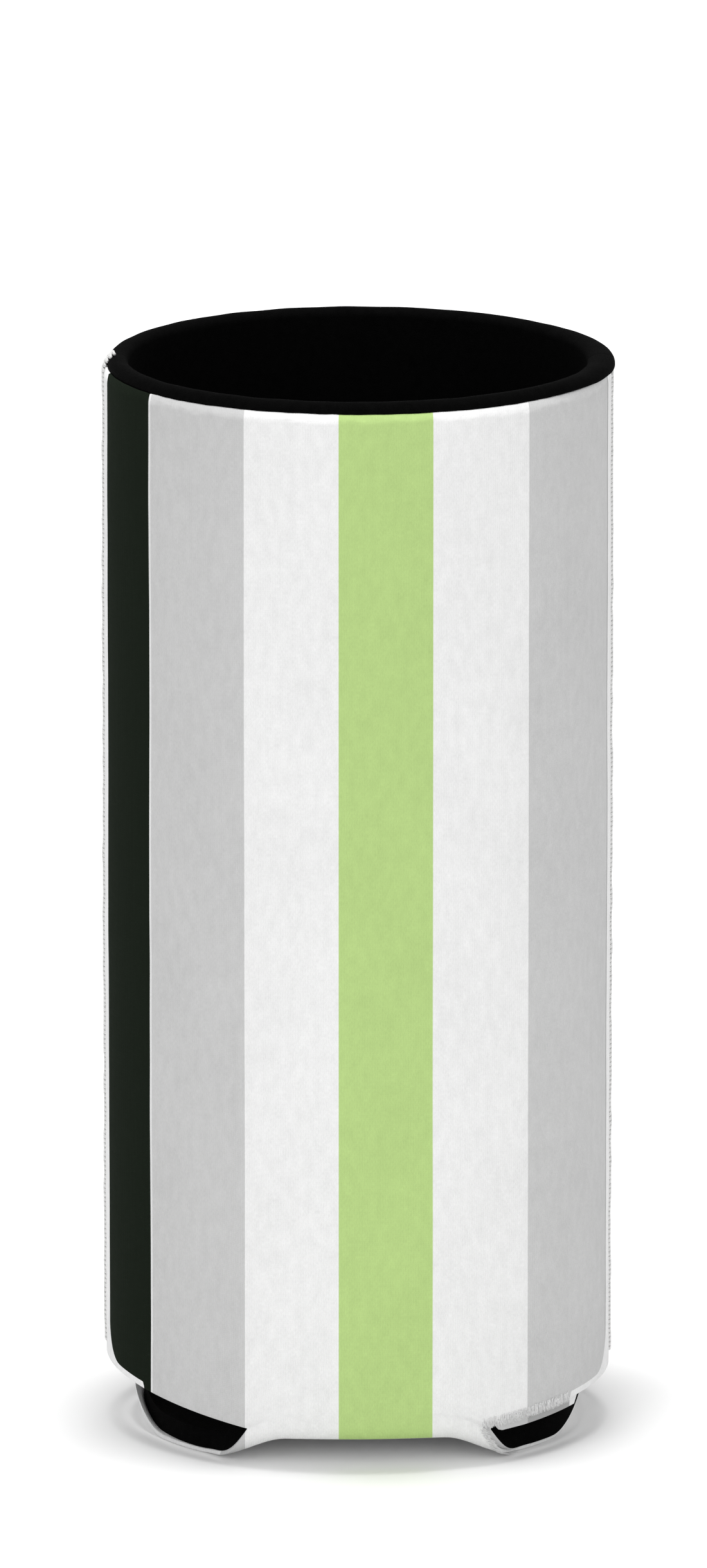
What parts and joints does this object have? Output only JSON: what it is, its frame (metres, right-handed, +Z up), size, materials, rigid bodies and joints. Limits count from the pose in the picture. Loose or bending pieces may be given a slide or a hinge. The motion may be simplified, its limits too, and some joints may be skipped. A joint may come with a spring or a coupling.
{
  "type": "can cooler sleeve",
  "caption": "Folded fabric and foam sleeve with stitched sides, a round base and an open top, made to hold one slim drink can.",
  "frame": {"origin": "centre of the base, on the surface that the sleeve stands on", "axes": "+Z up through the open mouth, +X to the right as seen from the front, -Y out of the front panel"},
  "size_m": [0.0634, 0.0628, 0.135],
  "materials": {
    "knit_cover": "fine matt polyester knit, printed in vertical stripes of near-black, light grey, white and light green",
    "black_foam": "matt black closed-cell rubber foam with a bonded black lining",
    "seam_thread": "off-white overcast sewing thread"
  },
  "bodies": {
    "root": {"printed_cover": "knit_cover", "foam_body": "black_foam", "side_seam_left": "seam_thread", "side_seam_right": "seam_thread"}
  },
  "joints": []
}
